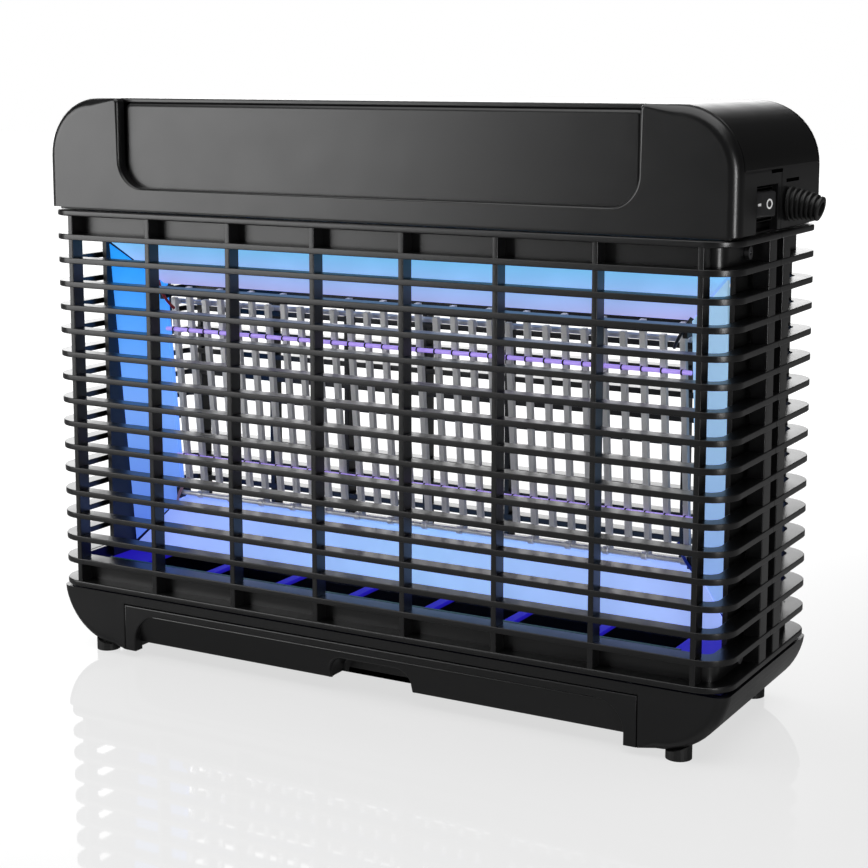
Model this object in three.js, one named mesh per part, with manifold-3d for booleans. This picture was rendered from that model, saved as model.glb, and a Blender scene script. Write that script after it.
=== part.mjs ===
// Electric bug zapper: an upright caged lamp with an electrified grid, a head that holds the
// electronics and a base that holds a collection tray. Millimetres, +X right, +Y to the rear, +Z up.
// The origin is the bottom centre of the whole object, between its feet.
import * as THREE from "three";
import { mergeVertices } from "three/addons/utils/BufferGeometryUtils.js";
import { ConvexGeometry } from "three/addons/geometries/ConvexGeometry.js";
import Module from "manifold-3d";

const wasm = await Module();
wasm.setup();

// Driving dimensions
const width = 383;
const depth = 120;
const height = 297;
const finPitch = 12.5;
const finCount = 15;
const finThickness = 3;
const finDepth = 8.8;
const cageCorner = 15;
const ribCount = 8;
const ribSpacing = 50.2;
const ribWidth = 2.8;
const postGap = 4.6;
const postWidth = 9.6;
const wall = 2.4;
const clearance = 0.3;
const housingInset = 3;
const edgeRound = 5;
const tilt = THREE.MathUtils.degToRad(5.8);
const reliefReach = 16;

// Places that follow from them
const halfWidth = width / 2;
const halfDepth = depth / 2;
const housingFace = halfDepth - housingInset;
const flangeThickness = 3;
const cageFloor = 35.6;
const cageCeiling = cageFloor + (finCount + 1) * finPitch;
const cageTop = cageCeiling + flangeThickness;
const headFloor = cageTop + 1.6;
const baseCeiling = cageFloor - 1.7;
const lidEdge = housingFace - 6.5;
const moduleCentre = new THREE.Vector3(0, -2.5, (cageFloor + cageCeiling) / 2 + 0.5);

// ---- Solids: joining and cutting ----

function solid(geometry) {
  const bare = geometry.clone();
  bare.deleteAttribute("normal");
  bare.deleteAttribute("uv");
  const merged = mergeVertices(bare, 1e-4);
  return new wasm.Manifold(
    new wasm.Mesh({
      numProp: 3,
      vertProperties: merged.attributes.position.array,
      triVerts: new Uint32Array(merged.index.array),
    }),
  );
}

function geometryOf(body) {
  const mesh = body.getMesh();
  return new THREE.BufferGeometry()
    .setAttribute("position", new THREE.BufferAttribute(mesh.vertProperties, 3))
    .setIndex(new THREE.BufferAttribute(mesh.triVerts, 1));
}

const join = (...bodies) => bodies.reduce((all, body) => all.add(body));
const cut = (body, ...tools) => tools.reduce((left, tool) => left.subtract(tool), body);

// A box from its lowest to its highest corner.
function box(low, high) {
  const size = high.map((value, axis) => value - low[axis]);
  const middle = high.map((value, axis) => (value + low[axis]) / 2);
  return solid(new THREE.BoxGeometry(...size).translate(...middle));
}

// An outline drawn in X and Y, raised along Z.
function raised(shape, low, high, curveSegments = 6) {
  const options = { depth: high - low, bevelEnabled: false, curveSegments };
  return solid(new THREE.ExtrudeGeometry(shape, options).translate(0, 0, low));
}

// An outline drawn in X and Z as seen from the front, carried back from front to rear.
function carriedBack(shape, front, rear, curveSegments = 8) {
  const options = { depth: rear - front, bevelEnabled: false, curveSegments };
  const geometry = new THREE.ExtrudeGeometry(shape, options);
  return solid(geometry.rotateX(Math.PI / 2).translate(0, rear, 0));
}

// The same, with its front and rear edges rounded. The outline is drawn `round` smaller.
function carriedBackRounded(shape, front, rear, round) {
  const geometry = new THREE.ExtrudeGeometry(shape, {
    depth: rear - front - 2 * round,
    bevelThickness: round,
    bevelSize: round,
    bevelSegments: 4,
    curveSegments: 8,
  });
  return solid(geometry.rotateX(Math.PI / 2).translate(0, rear - round, 0));
}

// A round bar between two points.
function bar(from, to, radius, sides = 12) {
  const start = new THREE.Vector3(...from);
  const run = new THREE.Vector3(...to).sub(start);
  const geometry = new THREE.CylinderGeometry(radius, radius, run.length(), sides);
  const along = new THREE.Quaternion().setFromUnitVectors(
    new THREE.Vector3(0, 1, 0),
    run.clone().normalize(),
  );
  geometry.applyQuaternion(along).translate(...start.addScaledVector(run, 0.5).toArray());
  return solid(geometry);
}

function rectangle(left, bottom, right, top) {
  return new THREE.Shape([
    new THREE.Vector2(left, bottom),
    new THREE.Vector2(right, bottom),
    new THREE.Vector2(right, top),
    new THREE.Vector2(left, top),
  ]);
}

// ---- Materials ----

const finishes = {
  black_plastic: { color: 0x1d1d1f, roughness: 0.42, metalness: 0 },
  inner_plastic: { color: 0x0c0c0e, roughness: 0.6, metalness: 0 },
  reflector: { color: 0x8fb4ff, roughness: 0.35, metalness: 0 },
  grid_metal: { color: 0xc9cacc, roughness: 0.3, metalness: 1 },
  insulator: { color: 0xcdb7ee, roughness: 0.3, metalness: 0 },
  rubber: { color: 0x121212, roughness: 0.8, metalness: 0 },
  steel: { color: 0x9a9a9c, roughness: 0.35, metalness: 1 },
  board: { color: 0x1c5a34, roughness: 0.5, metalness: 0 },
  copper_winding: { color: 0x9a5a22, roughness: 0.4, metalness: 0.4 },
};

const part = new THREE.Group();

// Adds one named piece to the object, or to the group given.
function piece(name, finish, body, group = part) {
  const material = new THREE.MeshStandardMaterial({ ...finishes[finish], name: finish });
  const mesh = new THREE.Mesh(geometryOf(body), material);
  mesh.name = name;
  group.add(mesh);
  return mesh;
}

// ---- Cage: a front and a rear half, each a set of fins that wraps round to the sides ----

// A strip that follows the cage's outline in plan, from one side round the front to the other.
function wrapStrip(outer, inner, sideEnd) {
  const strip = new THREE.Shape();
  const trace = (inset, backwards) => {
    const x = halfWidth - inset;
    const y = -halfDepth + inset;
    const round = Math.max(cageCorner - inset, 1.5);
    const [start, end] = backwards ? [1, -1] : [-1, 1];
    const angles = backwards ? [0, -Math.PI / 2] : [Math.PI, 1.5 * Math.PI];
    const nextAngles = backwards ? [-Math.PI / 2, -Math.PI] : [1.5 * Math.PI, 2 * Math.PI];
    strip.lineTo(start * x, sideEnd);
    strip.absarc(start * (x - round), y + round, round, ...angles, backwards);
    strip.absarc(end * (x - round), y + round, round, ...nextAngles, backwards);
    strip.lineTo(end * x, sideEnd);
  };
  strip.moveTo(-(halfWidth - outer), sideEnd);
  trace(outer, false);
  trace(inner, true);
  return strip;
}

// Half of the cage, up to where it meets the other half at mid-depth. A post stands near each end.
function grilleHalf() {
  const sideEnd = -clearance / 2;
  const finOutline = wrapStrip(0, finDepth, sideEnd);
  const apronOutline = wrapStrip(finDepth - 0.5, finDepth + 2, sideEnd);
  const fins = Array.from({ length: finCount }, (unused, index) => {
    const low = cageFloor + (index + 1) * finPitch;
    return raised(finOutline, low, low + finThickness);
  });
  const flanges = [
    raised(finOutline, cageFloor, cageFloor + flangeThickness),
    raised(finOutline, cageCeiling, cageTop),
  ];
  const aprons = [
    raised(apronOutline, cageFloor, cageFloor + finPitch + finThickness),
    raised(apronOutline, cageCeiling - finPitch, cageTop),
  ];
  const ribs = Array.from({ length: ribCount }, (unused, index) => {
    const centre = (index - (ribCount - 1) / 2) * ribSpacing;
    return box(
      [centre - ribWidth / 2, -halfDepth + 0.3, cageFloor + 0.5],
      [centre + ribWidth / 2, -halfDepth + finDepth - 0.2, cageTop - 0.5],
    );
  });
  const posts = [-1, 1].map((side) => {
    const x = [side * (halfWidth - 0.4), side * (halfWidth - finDepth + 0.4)];
    return box(
      [Math.min(...x), -postGap - postWidth, cageFloor + 0.5],
      [Math.max(...x), -postGap, cageTop - 0.5],
    );
  });
  return join(...flanges, ...fins, ...aprons, ...ribs, ...posts);
}

function makeCage() {
  piece("front_grille", "black_plastic", grilleHalf());
  piece("rear_grille", "black_plastic", grilleHalf().rotate([0, 0, 180]));
}

// ---- Head: front shell, rear shell and the lid that wraps over both ----

const headCorner = 30;

// The head seen from the front, drawn down past its open bottom.
function headOutline(inset) {
  const x = halfWidth - inset;
  const top = height - inset;
  const round = headCorner - inset;
  const bottom = headFloor - 20;
  const outline = new THREE.Shape();
  outline.moveTo(-x, bottom);
  outline.lineTo(x, bottom);
  outline.absarc(x - round, top - round, round, 0, Math.PI / 2, false);
  outline.absarc(-x + round, top - round, round, Math.PI / 2, Math.PI, false);
  return outline;
}

function headSkin() {
  const outer = carriedBackRounded(
    headOutline(edgeRound), -housingFace, housingFace, edgeRound);
  const innerFace = housingFace - wall;
  const inner = carriedBackRounded(
    headOutline(edgeRound), -innerFace, innerFace, edgeRound - wall);
  const below = box([-halfWidth, -halfDepth, headFloor - 30], [halfWidth, halfDepth, headFloor]);
  return cut(outer, inner, below);
}

// The sunk panel in the head's face, open at the top, with round lower corners.
const panelHalf = 144.7;
const panelBottom = headFloor + 11;
const panelRound = 14.5;
const panelSink = 5.5;

function panelOutline(grow, top) {
  const x = panelHalf + grow;
  const low = panelBottom - grow;
  const round = panelRound + grow;
  const outline = new THREE.Shape();
  outline.moveTo(x, top);
  outline.lineTo(-x, top);
  outline.absarc(-x + round, low + round, round, Math.PI, 1.5 * Math.PI, false);
  outline.absarc(x - round, low + round, round, 1.5 * Math.PI, 2 * Math.PI, false);
  return outline;
}

// Everything of the head's skin in front of sideEnd that the lid doesn't cover.
function headShell(sideEnd) {
  const lidLow = 268.4;
  const front = box([-halfWidth, -halfDepth, 0], [halfWidth, sideEnd, height]);
  const underLid = box(
    [-halfWidth - 1, -lidEdge - clearance, lidLow], [halfWidth + 1, halfDepth, height + 1]);
  const panelTop = height - wall - 2 * clearance;
  const panelBack = -housingFace + panelSink;
  const panel = carriedBack(panelOutline(wall, panelTop), -housingFace + 1, panelBack + wall);
  const opening = carriedBack(panelOutline(0, height + 5), -halfDepth, panelBack);
  return cut(join(headSkin().intersect(front).subtract(underLid), panel), opening);
}

function headLid() {
  const zone = box([-halfWidth, -lidEdge, 268.7], [halfWidth, lidEdge, height]);
  return headSkin().intersect(zone);
}

// ---- Rocker switch and strain relief, on the head's right side ----

const headParting = -2;
const switchCentre = { y: -21, z: 252.5 };
const recess = { front: -34.6, rear: -6.7, top: 261, sink: 3.5 };
const reliefCentre = { y: 8, z: 251 };
const reliefDroop = THREE.MathUtils.degToRad(4);
const bezel = { halfLength: 10.5, halfHeight: 7.5, openLength: 9.2, openHeight: 5.9 };
const recessFace = halfWidth - recess.sink;

// The shallow recess in the side of the front shell, with the hole that the switch clips into.
function withSwitchRecess(shell) {
  const back = recessFace - wall;
  const liner = box(
    [back, recess.front - wall, headFloor],
    [halfWidth - 1, recess.rear + wall, recess.top + wall]);
  const mouth = box(
    [recessFace, recess.front, headFloor - 1], [halfWidth + 1, recess.rear, recess.top]);
  const hole = box(
    [back - 1, switchCentre.y - 9.9, switchCentre.z - 6.9],
    [recessFace + 1, switchCentre.y + 9.9, switchCentre.z + 6.9]);
  return cut(join(shell, liner), mouth, hole);
}

const rockerPivotX = recessFace + 0.8;

function switchBody() {
  const { y, z } = switchCentre;
  const rim = box(
    [recessFace + clearance, y - bezel.halfLength, z - bezel.halfHeight],
    [recessFace + 2, y + bezel.halfLength, z + bezel.halfHeight]);
  const tub = box(
    [recessFace - 15, y - 9.6, z - 6.6], [recessFace + 1, y + 9.6, z + 6.6]);
  const terminals = [-6, 0, 6].map((offset) =>
    box([recessFace - 22, y + offset - 0.4, z - 2.4], [recessFace - 14, y + offset + 0.4, z + 2.4]));
  const cavity = box(
    [recessFace - 8, y - bezel.openLength, z - bezel.openHeight],
    [recessFace + 3, y + bezel.openLength, z + bezel.openHeight]);
  const bore = bar([rockerPivotX - 2, y, z - 6.35], [rockerPivotX - 2, y, z + 6.35], 1.5);
  return cut(join(rim, tub, ...terminals), cavity, bore);
}

// The rocker is drawn level about its pivot, then rests with its front half pressed in.
function rocker() {
  const profile = new THREE.Shape();
  profile.moveTo(-3, -4);
  profile.lineTo(3.4, -8.4);
  profile.lineTo(4.6, -8);
  profile.quadraticCurveTo(2.4, 0, 4.6, 8);
  profile.lineTo(3.4, 8.4);
  profile.lineTo(-3, 4);
  const paddle = raised(profile, -5.6, 5.6);
  return join(paddle, bar([0, 0, -6.15], [0, 0, 6.15], 1.3));
}

const rockerThrow = THREE.MathUtils.degToRad(11);

// A ribbed rubber boot, turned about the line along which the lead leaves.
function strainRelief() {
  const bore = 3.1;
  const ribs = 6;
  const start = 2.2;
  const step = (reliefReach - start) / ribs;
  const profile = [
    [0, -7],
    [6.2, -7],
    [6.2, -3.4],
    [4.7, -3.4],
    [4.7, 0.8],
    [7.9, 0.8],
    [7.9, start],
  ];
  for (let rib = 0; rib < ribs; rib += 1) {
    const radius = 7.4 - 0.5 * rib;
    const foot = start + rib * step;
    profile.push([radius - 1, foot + 0.1], [radius, foot + 0.7], [radius, foot + step - 0.5]);
  }
  profile.push([bore + 0.7, reliefReach], [bore, reliefReach], [bore, 0], [0, 0]);
  const points = profile.map(([radius, along]) => new THREE.Vector2(radius, along));
  return solid(new THREE.LatheGeometry(points, 20).rotateZ(-Math.PI / 2));
}

function makeHead() {
  const front = headShell(headParting);
  piece("front_head_shell", "black_plastic", withSwitchRecess(front));
  const reliefHole = bar(
    [halfWidth - 8, reliefCentre.y, reliefCentre.z],
    [halfWidth + 1, reliefCentre.y, reliefCentre.z], 5.2, 20);
  const rear = headShell(-headParting - clearance).rotate([0, 0, 180]);
  piece("rear_head_shell", "black_plastic", cut(rear, reliefHole));
  piece("head_lid", "black_plastic", headLid());

  piece("switch_body", "inner_plastic", switchBody());
  const paddle = piece("switch_rocker", "inner_plastic", rocker());
  paddle.position.set(rockerPivotX - 2, switchCentre.y, switchCentre.z);
  paddle.rotation.z = -rockerThrow;
  const boot = piece("strain_relief_boot", "rubber", strainRelief());
  boot.position.set(halfWidth, reliefCentre.y, reliefCentre.z);
  boot.rotation.y = reliefDroop;
}

// ---- Electronics, inside the head ----

function makeElectronics() {
  const neck = box([-187, -53, cageTop + clearance], [187, 53, headFloor - clearance]);
  const plate = box([-182, -48, cageTop + 0.5], [182, 48, headFloor + 2.4]);
  const leadHole = bar([-150, 0, cageTop - 1], [-150, 0, headFloor + 4], 1.5);
  piece("head_chassis", "inner_plastic", cut(join(neck, plate), leadHole));

  const boardLow = headFloor + 8;
  const pillars = [-1, 1].flatMap((side) => [-1, 1].map((end) =>
    bar([side * 70 - 20, end * 32, headFloor + 2.7], [side * 70 - 20, end * 32, boardLow + 0.2], 3)));
  const board = box([-100, -40, boardLow], [60, 40, boardLow + 1.6]);
  piece("driver_board", "board", join(board, ...pillars));

  const onBoard = boardLow + 1.6 + clearance;
  const core = join(
    box([-92, -20, onBoard], [-52, 20, onBoard + 12]),
    box([-92, -20, onBoard + 18], [-52, 20, onBoard + 30]),
    box([-92, -20, onBoard + 10], [-82, 20, onBoard + 20]),
    box([-62, -20, onBoard + 10], [-52, 20, onBoard + 20]));
  piece("step_up_transformer", "steel", core);
  piece("transformer_winding", "copper_winding",
    box([-81.7, -24, onBoard + 12.3], [-62.3, 24, onBoard + 17.7]));
  piece("storage_capacitor", "copper_winding",
    box([-30, -15, onBoard], [0, 15, onBoard + 18]));
  piece("terminal_block", "inner_plastic", box([30, -22, onBoard], [52, 22, onBoard + 14]));
}

// ---- Lamp module: four mitred reflectors round the grid, leaning forward at the top ----

const windowHalf = { u: 153, v: 61 };
const mouthHalf = { u: 177.4, v: 86 };
const mouthReach = 16.5;
const sheet = 1.4;

// One reflector, as the space between a sheet's front corners and the same corners moved back.
function reflector(corners) {
  const [a, b, c] = corners.map((corner) => new THREE.Vector3(...corner));
  const normal = b.clone().sub(a).cross(c.clone().sub(a)).normalize().multiplyScalar(sheet);
  if (normal.y < 0) normal.negate();
  const front = corners.map((corner) => new THREE.Vector3(...corner));
  const back = front.map((corner) => corner.clone().add(normal));
  return solid(new ConvexGeometry([...front, ...back]));
}

function makeReflectors(module, facing, prefix) {
  const near = facing * 1.7;
  const far = facing * mouthReach;
  const mitre = 0.35;
  const level = (side) => [
    [-windowHalf.u + mitre, near, side * windowHalf.v],
    [windowHalf.u - mitre, near, side * windowHalf.v],
    [mouthHalf.u - mitre - sheet, far, side * mouthHalf.v],
    [-mouthHalf.u + mitre + sheet, far, side * mouthHalf.v],
  ];
  const upright = (side) => [
    [side * windowHalf.u, near, -windowHalf.v + mitre],
    [side * windowHalf.u, near, windowHalf.v - mitre],
    [side * (mouthHalf.u - sheet), far, mouthHalf.v - mitre - sheet],
    [side * (mouthHalf.u - sheet), far, -mouthHalf.v + mitre + sheet],
  ];
  const sheets = { top: level(1), bottom: level(-1), left: upright(-1), right: upright(1) };
  for (const [side, corners] of Object.entries(sheets)) {
    const body = facing < 0 ? reflector(corners) : reflectorFacingBack(corners);
    piece(`${prefix}_reflector_${side}`, "reflector", body, module);
  }
}

// The rear reflectors are the front ones turned to face the other way.
function reflectorFacingBack(corners) {
  const mirrored = corners.map(([x, y, z]) => [x, -y, z]);
  return reflector(mirrored).mirror([0, 1, 0]);
}

// ---- Electrified grid: two combs of flat bars that reach between each other ----

const stripCount = 30;
const stripPitch = 10.2;
const strip = { width: 3, depth: 3, low: -54, high: 53 };
const rodHeight = 36;

function stripBars(parity, low, high) {
  return Array.from({ length: stripCount / 2 }, (unused, index) => {
    const x = (2 * index + parity - (stripCount - 1) / 2) * stripPitch;
    return { x, body: box(
      [x - strip.width / 2, -strip.depth / 2, low],
      [x + strip.width / 2, strip.depth / 2, high]) };
  });
}

function makeGrid(module) {
  const reach = windowHalf.u - 3.2;
  const frontRod = { y: -4.6, z: -57, radius: 1.3 };
  const tall = stripBars(1, frontRod.z - 1.5, windowHalf.v - 1.5);
  const clips = tall.map(({ x }) => join(
    bar([x - 1.5, frontRod.y, frontRod.z], [x + 1.5, frontRod.y, frontRod.z], 2.1),
    box([x - 1.5, frontRod.y, frontRod.z - 1.2], [x + 1.5, 0, frontRod.z + 1.2])));
  const lowerRod = bar([-reach, frontRod.y, frontRod.z], [reach, frontRod.y, frontRod.z],
    frontRod.radius, 10);
  piece("grid_comb_live", "grid_metal",
    join(lowerRod, ...tall.map(({ body }) => body), ...clips), module);

  const rearRod = { y: 5.2, z: 50, radius: 1.4 };
  const short = stripBars(0, strip.low, strip.high);
  const tabs = short.map(({ x }) =>
    box([x - 1.2, 0, rearRod.z - 1.2], [x + 1.2, rearRod.y, rearRod.z + 1.2]));
  const upperRod = bar([-reach, rearRod.y, rearRod.z], [reach, rearRod.y, rearRod.z],
    rearRod.radius, 10);
  piece("grid_comb_return", "grid_metal",
    join(upperRod, ...short.map(({ body }) => body), ...tabs), module);

  const railFront = -strip.depth / 2 - clearance;
  piece("grid_top_rail", "inner_plastic",
    box([-reach, railFront - 2.4, 54.6], [reach, railFront, 58]), module);
  for (const [name, z] of [["upper", rodHeight], ["lower", -rodHeight]]) {
    piece(`${name}_spacer_rod`, "insulator",
      bar([-reach - 3, railFront - 1.1, z], [reach + 3, railFront - 1.1, z], 1.1, 10), module);
  }
  const blockX = reach + clearance;
  for (const [side, sign] of [["left", -1], ["right", 1]]) {
    for (const [level, z] of [["upper", 56.3], ["lower", -57]]) {
      const x = [sign * blockX, sign * (blockX + 2.4)];
      piece(`${level}_${side}_insulator`, "insulator",
        box([Math.min(...x), -6.6, z - 3], [Math.max(...x), 3, z + 3]), module);
    }
  }
}

function makeModule() {
  const module = new THREE.Group();
  module.position.copy(moduleCentre);
  module.rotation.x = tilt;
  makeReflectors(module, -1, "front");
  makeReflectors(module, 1, "rear");
  makeGrid(module);
  part.add(module);

  const plateLow = 45;
  for (const [side, sign] of [["left", -1], ["right", 1]]) {
    const x = [sign * (mouthHalf.u + clearance), sign * 180.2];
    piece(`${side}_end_plate`, "inner_plastic",
      box([Math.min(...x), -28.2, plateLow], [Math.max(...x), 28.2, cageTop]));
  }
  const boardY = -47.5;
  piece("upper_led_board", "board", box([-165, boardY, 226.5], [165, boardY + 1.6, 236.5]));
  piece("lower_led_board", "board", box([-165, boardY, 45.5], [165, boardY + 1.6, 50.5]));
}

// ---- Base: pan, front and rear covers, drop grate, tray and feet ----

const legBottom = 3.75;
const panBottom = 8;
const baseCorner = 35;
const trayHalf = 148;
const trayTop = 28.5;
const notchCentre = 3;
const notchHalf = 23.5;
const notchTop = 20;
const notchDepth = 10;

// The base seen from the front, with large round lower corners and a raised middle.
function baseOutline(inset, top) {
  const x = halfWidth - inset;
  const round = baseCorner - inset;
  const centreZ = legBottom + baseCorner;
  const rise = Math.asin((centreZ - top) / round);
  const outline = new THREE.Shape();
  outline.absarc(-x + round, centreZ, round, Math.PI + rise, 1.5 * Math.PI, false);
  outline.lineTo(-trayHalf + 3 - inset, legBottom + inset);
  outline.lineTo(-trayHalf + 5 - inset, panBottom + inset);
  outline.lineTo(trayHalf - 5 + inset, panBottom + inset);
  outline.lineTo(trayHalf - 3 + inset, legBottom + inset);
  outline.absarc(x - round, centreZ, round, 1.5 * Math.PI, 2 * Math.PI - rise, false);
  return outline;
}

function baseCover(withTrayOpening) {
  const top = baseCeiling;
  const outer = carriedBackRounded(
    baseOutline(edgeRound, top + 4), -housingFace, housingFace, edgeRound);
  const zone = box([-halfWidth, -halfDepth, 0], [halfWidth, -lidEdge - clearance, top]);
  const inner = carriedBack(baseOutline(wall, top + 4), -housingFace + wall, 0);
  const lintel = box([-170, -housingFace + 0.5, top - wall], [170, -lidEdge - clearance, top]);
  const cover = join(cut(outer.intersect(zone), inner), lintel);
  if (!withTrayOpening) return cover;
  const jambs = [-1, 1].map((side) => {
    const x = [side * (trayHalf + clearance), side * (trayHalf + clearance + wall)];
    return box([Math.min(...x), -housingFace + 1, legBottom + 0.6],
      [Math.max(...x), -lidEdge - clearance, top]);
  });
  const doorway = box(
    [-trayHalf - clearance, -halfDepth, 0], [trayHalf + clearance, 0, trayTop + clearance]);
  return cut(join(cover, ...jambs), doorway);
}

function basePan() {
  const outer = carriedBack(baseOutline(0, baseCeiling), -lidEdge, lidEdge);
  const inner = carriedBack(baseOutline(wall, baseCeiling + 1), -halfDepth, halfDepth);
  const reach = notchHalf + 2 * clearance;
  const underNotch = box(
    [notchCentre - reach, -halfDepth, 0],
    [notchCentre + reach, -lidEdge + notchDepth, panBottom + wall + 1]);
  return cut(outer, inner, underNotch);
}

const slotColumns = 7;
const slotPitch = 45;
const slotRow = 22;
const slotHalf = { x: 20, y: 19 };

// The raised floor of the cage, with slots that the insects fall through.
function dropGrate() {
  const top = 44.4;
  const low = baseCeiling + clearance;
  const flange = box([-187, -53, low], [187, 53, cageFloor - clearance]);
  const riser = box([-179, -48, low], [179, 48, top]);
  const hollow = box([-177, -46, low - 1], [177, 46, top - 2]);
  const slots = Array.from({ length: slotColumns }, (unused, index) => {
    const x = (index - (slotColumns - 1) / 2) * slotPitch;
    return [-slotRow, slotRow].map((y) =>
      box([x - slotHalf.x, y - slotHalf.y, 0], [x + slotHalf.x, y + slotHalf.y, top + 1]));
  }).flat();
  return cut(join(flange, riser), hollow, ...slots);
}

function roundTopped(left, right, top, round) {
  const outline = new THREE.Shape();
  outline.moveTo(left, 0);
  outline.lineTo(right, 0);
  outline.absarc(right - round, top - round, round, 0, Math.PI / 2, false);
  outline.absarc(left + round, top - round, round, Math.PI / 2, Math.PI, false);
  return outline;
}

function collectionTray() {
  const back = -lidEdge - clearance;
  const panelSunk = 4.6;
  const face = carriedBack(
    rectangle(-trayHalf, legBottom, trayHalf, trayTop), -housingFace, back);
  const sink = carriedBack(
    roundTopped(-trayHalf + 6.5, trayHalf - 6.5, trayTop - 4, 11),
    -halfDepth, -housingFace + panelSunk, 6);
  const under = box([-trayHalf + 6.5, -halfDepth, 0], [trayHalf - 6.5, 0, panBottom]);
  const binLow = panBottom + wall + clearance;
  const bin = box([-139, back - 0.5, binLow], [139, 44, 26]);
  const binHollow = box([-137.4, back + 1.6, binLow + 1.6], [137.4, 42.4, 27]);
  const pocketWall = box(
    [notchCentre - 26, back - 0.5, binLow], [notchCentre + 26, back + notchDepth + 2, notchTop + 2]);
  const pocket = carriedBack(
    roundTopped(notchCentre - notchHalf, notchCentre + notchHalf, notchTop, 8),
    -halfDepth, back + notchDepth, 6);
  const binWithPocket = join(cut(bin, binHollow), pocketWall);
  return cut(join(cut(face, sink, under), binWithPocket), pocket);
}

const footCentre = { x: 166, y: 49 };
const footRadius = 6.2;

// A round rubber foot whose top follows the base's round corner.
function foot() {
  const { x, y } = footCentre;
  const post = bar([x, -y, 0], [x, -y, 12], footRadius, 24);
  return cut(post, carriedBack(baseOutline(-clearance, baseCeiling), -halfDepth, halfDepth, 16));
}

function makeBase() {
  piece("front_base_cover", "black_plastic", baseCover(true));
  piece("rear_base_cover", "black_plastic", baseCover(false).rotate([0, 0, 180]));
  piece("base_pan", "black_plastic", basePan());
  piece("drop_grate", "inner_plastic", dropGrate());
  piece("collection_tray", "black_plastic", collectionTray());
  piece("front_right_foot", "rubber", foot());
  piece("front_left_foot", "rubber", foot().mirror([1, 0, 0]));
  piece("rear_right_foot", "rubber", foot().mirror([0, 1, 0]));
  piece("rear_left_foot", "rubber", foot().rotate([0, 0, 180]));
}

// ---- Screws that hold the cage's halves, one at each end of each side ----

const screwY = -24;

function makeScrews() {
  const apronFace = halfWidth - finDepth + 0.5;
  const rows = { upper: cageCeiling - finPitch / 2 + 1.5, lower: cageFloor + finPitch / 2 + 1.5 };
  for (const [side, sign] of [["left", -1], ["right", 1]]) {
    for (const [level, z] of Object.entries(rows)) {
      const from = sign * (apronFace + clearance);
      const head = bar([from, screwY, z], [from + sign * 2, screwY, z], 3, 16);
      const socket = bar([from + sign, screwY, z], [from + sign * 3, screwY, z], 1.2, 6);
      piece(`${level}_${side}_screw`, "steel", cut(head, socket));
    }
  }
}

makeCage();
makeHead();
makeElectronics();
makeModule();
makeBase();
makeScrews();

// The relief boot stands out on the right, so the body sits left of the object's middle.
const extent = new THREE.Box3().setFromObject(part, true);
part.position.x = -(extent.min.x + extent.max.x) / 2;

export default part;
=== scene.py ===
"""Looks of the electric bug zapper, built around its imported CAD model. Metres, +Z up."""

import math

import bmesh
import bpy
from mathutils import Matrix, Vector


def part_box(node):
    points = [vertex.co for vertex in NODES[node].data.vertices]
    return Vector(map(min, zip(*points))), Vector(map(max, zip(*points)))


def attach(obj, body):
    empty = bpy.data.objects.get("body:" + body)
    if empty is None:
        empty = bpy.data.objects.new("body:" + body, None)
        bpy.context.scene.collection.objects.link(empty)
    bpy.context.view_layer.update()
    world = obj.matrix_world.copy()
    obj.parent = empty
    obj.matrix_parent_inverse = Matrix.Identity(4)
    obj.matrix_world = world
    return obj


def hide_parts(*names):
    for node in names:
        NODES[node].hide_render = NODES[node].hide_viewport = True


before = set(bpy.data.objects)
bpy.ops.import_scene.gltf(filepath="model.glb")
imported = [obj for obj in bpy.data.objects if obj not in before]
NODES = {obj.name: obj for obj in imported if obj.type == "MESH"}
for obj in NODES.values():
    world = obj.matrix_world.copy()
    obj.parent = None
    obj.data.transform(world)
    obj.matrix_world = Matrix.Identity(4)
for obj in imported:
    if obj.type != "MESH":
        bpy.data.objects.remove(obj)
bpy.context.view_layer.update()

MM = 0.001

# Driving dimensions, read off the CAD model
CAGE_LOW, CAGE_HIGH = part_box("front_grille")
HEAD_LOW, HEAD_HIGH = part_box("front_head_shell")
MIDDLE_X = (CAGE_LOW.x + CAGE_HIGH.x) / 2
HALF_WIDTH = (CAGE_HIGH.x - CAGE_LOW.x) / 2
HALF_DEPTH = -CAGE_LOW.y
HOUSING_FACE = -HEAD_LOW.y
FIN_COUNT = 15
FIN_PITCH = 12.5 * MM
FIN_THICKNESS = 3 * MM
FIN_DEPTH = 8.8 * MM
FLANGE_THICKNESS = 3 * MM
CAGE_CORNER = 15 * MM
RIB_COUNT = 8
RIB_SPACING = 50.2 * MM
RIB_WIDTH = 2.8 * MM
POST_FRONT = -14.2 * MM
POST_REAR = -4.6 * MM
TILT = math.radians(5.8)
MODULE_CENTRE = Vector((MIDDLE_X, -2.5 * MM, (CAGE_LOW.z + CAGE_HIGH.z - FLANGE_THICKNESS) / 2 + 0.5 * MM))


# ---- Meshes ----


def finish_piece(name, mesh, body, material, replaces=(), smooth_angle=35):
    """Makes an object of a bmesh, shades it smooth up to an angle, and fixes it to a CAD body."""
    bmesh.ops.recalc_face_normals(mesh, faces=mesh.faces)
    data = bpy.data.meshes.new(name)
    mesh.to_mesh(data)
    mesh.free()
    data.materials.append(material)
    piece = bpy.data.objects.new(name, data)
    bpy.context.scene.collection.objects.link(piece)
    shade_smooth(piece, smooth_angle)
    flat_faces = piece.modifiers.new("flat_faces", "WEIGHTED_NORMAL")
    flat_faces.keep_sharp = True
    flat_faces.weight = 100
    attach(piece, body)
    if replaces:
        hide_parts(*replaces)
    return piece


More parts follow.
